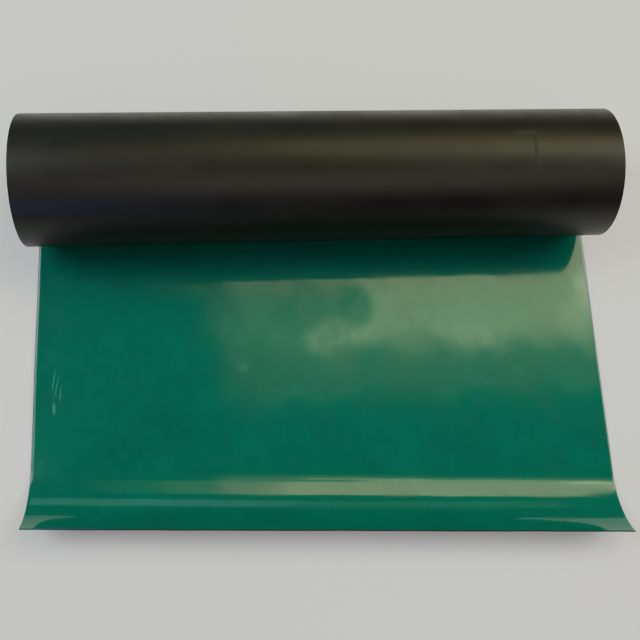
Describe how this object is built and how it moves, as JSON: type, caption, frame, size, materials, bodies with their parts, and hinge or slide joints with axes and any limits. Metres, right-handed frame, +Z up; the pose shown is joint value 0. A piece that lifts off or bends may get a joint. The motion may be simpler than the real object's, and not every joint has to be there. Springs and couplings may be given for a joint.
{
  "type": "anti static bench mat",
  "caption": "Roll of two-ply rubber bench mat, wound black side out, with its free end laid flat in front, green side up, and curling up at the front edge.",
  "frame": {"origin": "on the floor, in the middle of the rectangle that the roll and its flap cover", "axes": "+X along the roll's axis; +Y from the flap's front edge towards the roll; +Z up from the floor"},
  "size_m": [0.8, 0.5878, 0.1795],
  "materials": {
    "black_rubber": "semi-gloss black conductive rubber",
    "green_rubber": "glossy dark green dissipative rubber"
  },
  "bodies": {
    "root": {"black_backing": "black_rubber", "green_top_layer": "green_rubber"}
  },
  "joints": []
}
